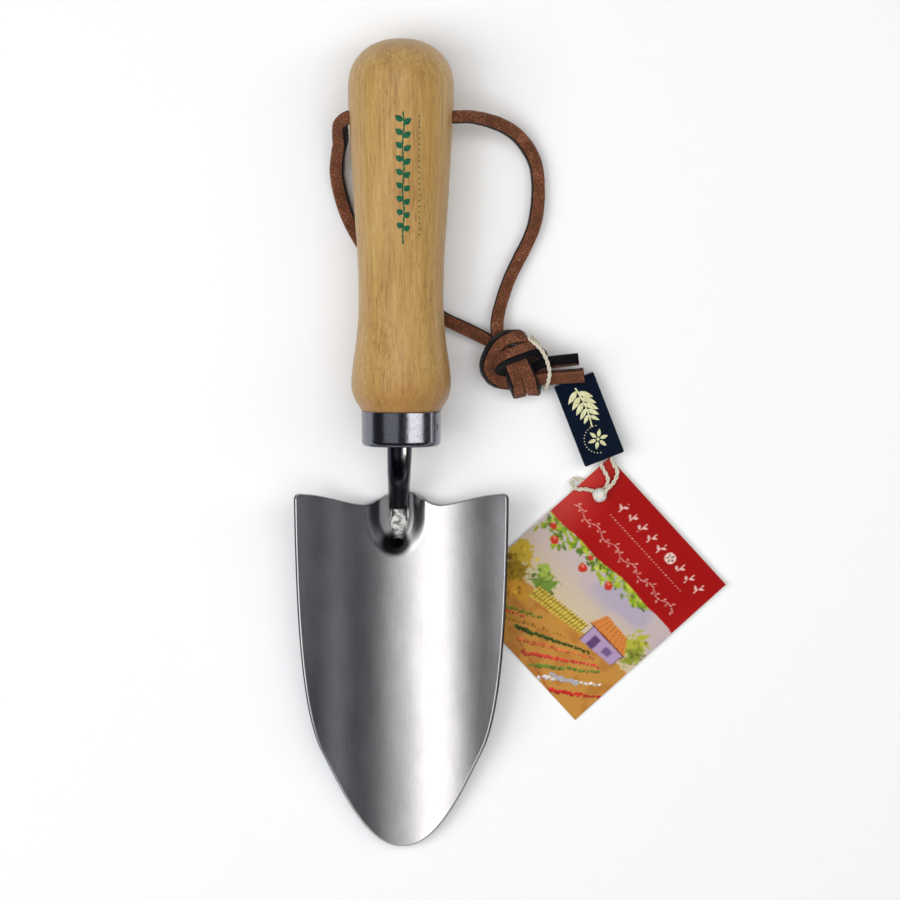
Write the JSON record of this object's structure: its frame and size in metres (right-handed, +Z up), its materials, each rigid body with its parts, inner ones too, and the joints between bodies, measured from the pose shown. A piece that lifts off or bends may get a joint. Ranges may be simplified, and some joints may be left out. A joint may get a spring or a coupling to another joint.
{
  "type": "hand transplanter",
  "caption": "Hand transplanter with turned wooden handle, steel ferrule and cranked tang, dished scoop blade, and a knotted leather hanging thong carrying a plastic seal and a paper card.",
  "frame": {"origin": "on the floor below the middle of the tool (handle and blade, without the thong and tag)", "axes": "+Y along the tool towards the butt, +Z up out of the scoop's open side, X across, floor at z = 0"},
  "size_m": [0.1348, 0.252, 0.0346],
  "materials": {
    "wood": "clear lacquer over pale open-pored wood",
    "ferrule_steel": "polished",
    "pin_steel": "dark, flush",
    "tang_steel": "polished, dark",
    "weld_steel": "ground",
    "blade_steel": "satin, brushed across",
    "leather": "suede with one dark grain face",
    "string": "twisted, slightly glossy",
    "seal_plastic": "moulded, semi-gloss",
    "plug_plastic": "moulded",
    "card": "glossy print",
    "bead": "pearly"
  },
  "bodies": {
    "tool": {"handle": "wood", "ferrule": "ferrule_steel", "ferrule_pin": "pin_steel", "tang": "tang_steel", "tang_weld": "weld_steel", "blade": "blade_steel"},
    "thong": {"thong_core": "leather", "thong_right": "leather", "thong_left": "leather", "thong_knot": "leather", "thong_tail_upper": "leather", "thong_tail_lower": "leather", "seal_string": "string"},
    "seal": {"seal_body": "seal_plastic", "seal_plug": "plug_plastic"},
    "tag": {"card": "card", "card_string": "string", "string_bead": "bead"}
  },
  "joints": [
    {"name": "thong_swing", "type": "hinge", "parent": "tool", "child": "thong", "pos_m": [0, 0.102, 0.0165], "axis": [1, 0, 0], "range_deg": [0, 180]},
    {"name": "seal_swing", "type": "hinge", "parent": "thong", "child": "seal", "pos_m": [0.0462, 0.0186, 0.004], "axis": [0, 0, 1], "range_deg": [-5, 35]},
    {"name": "card_swing", "type": "hinge", "parent": "seal", "child": "tag", "pos_m": [0.0638, -0.005, 0.0034], "axis": [0, 0, 1], "range_deg": [-5, 50]}
  ]
}
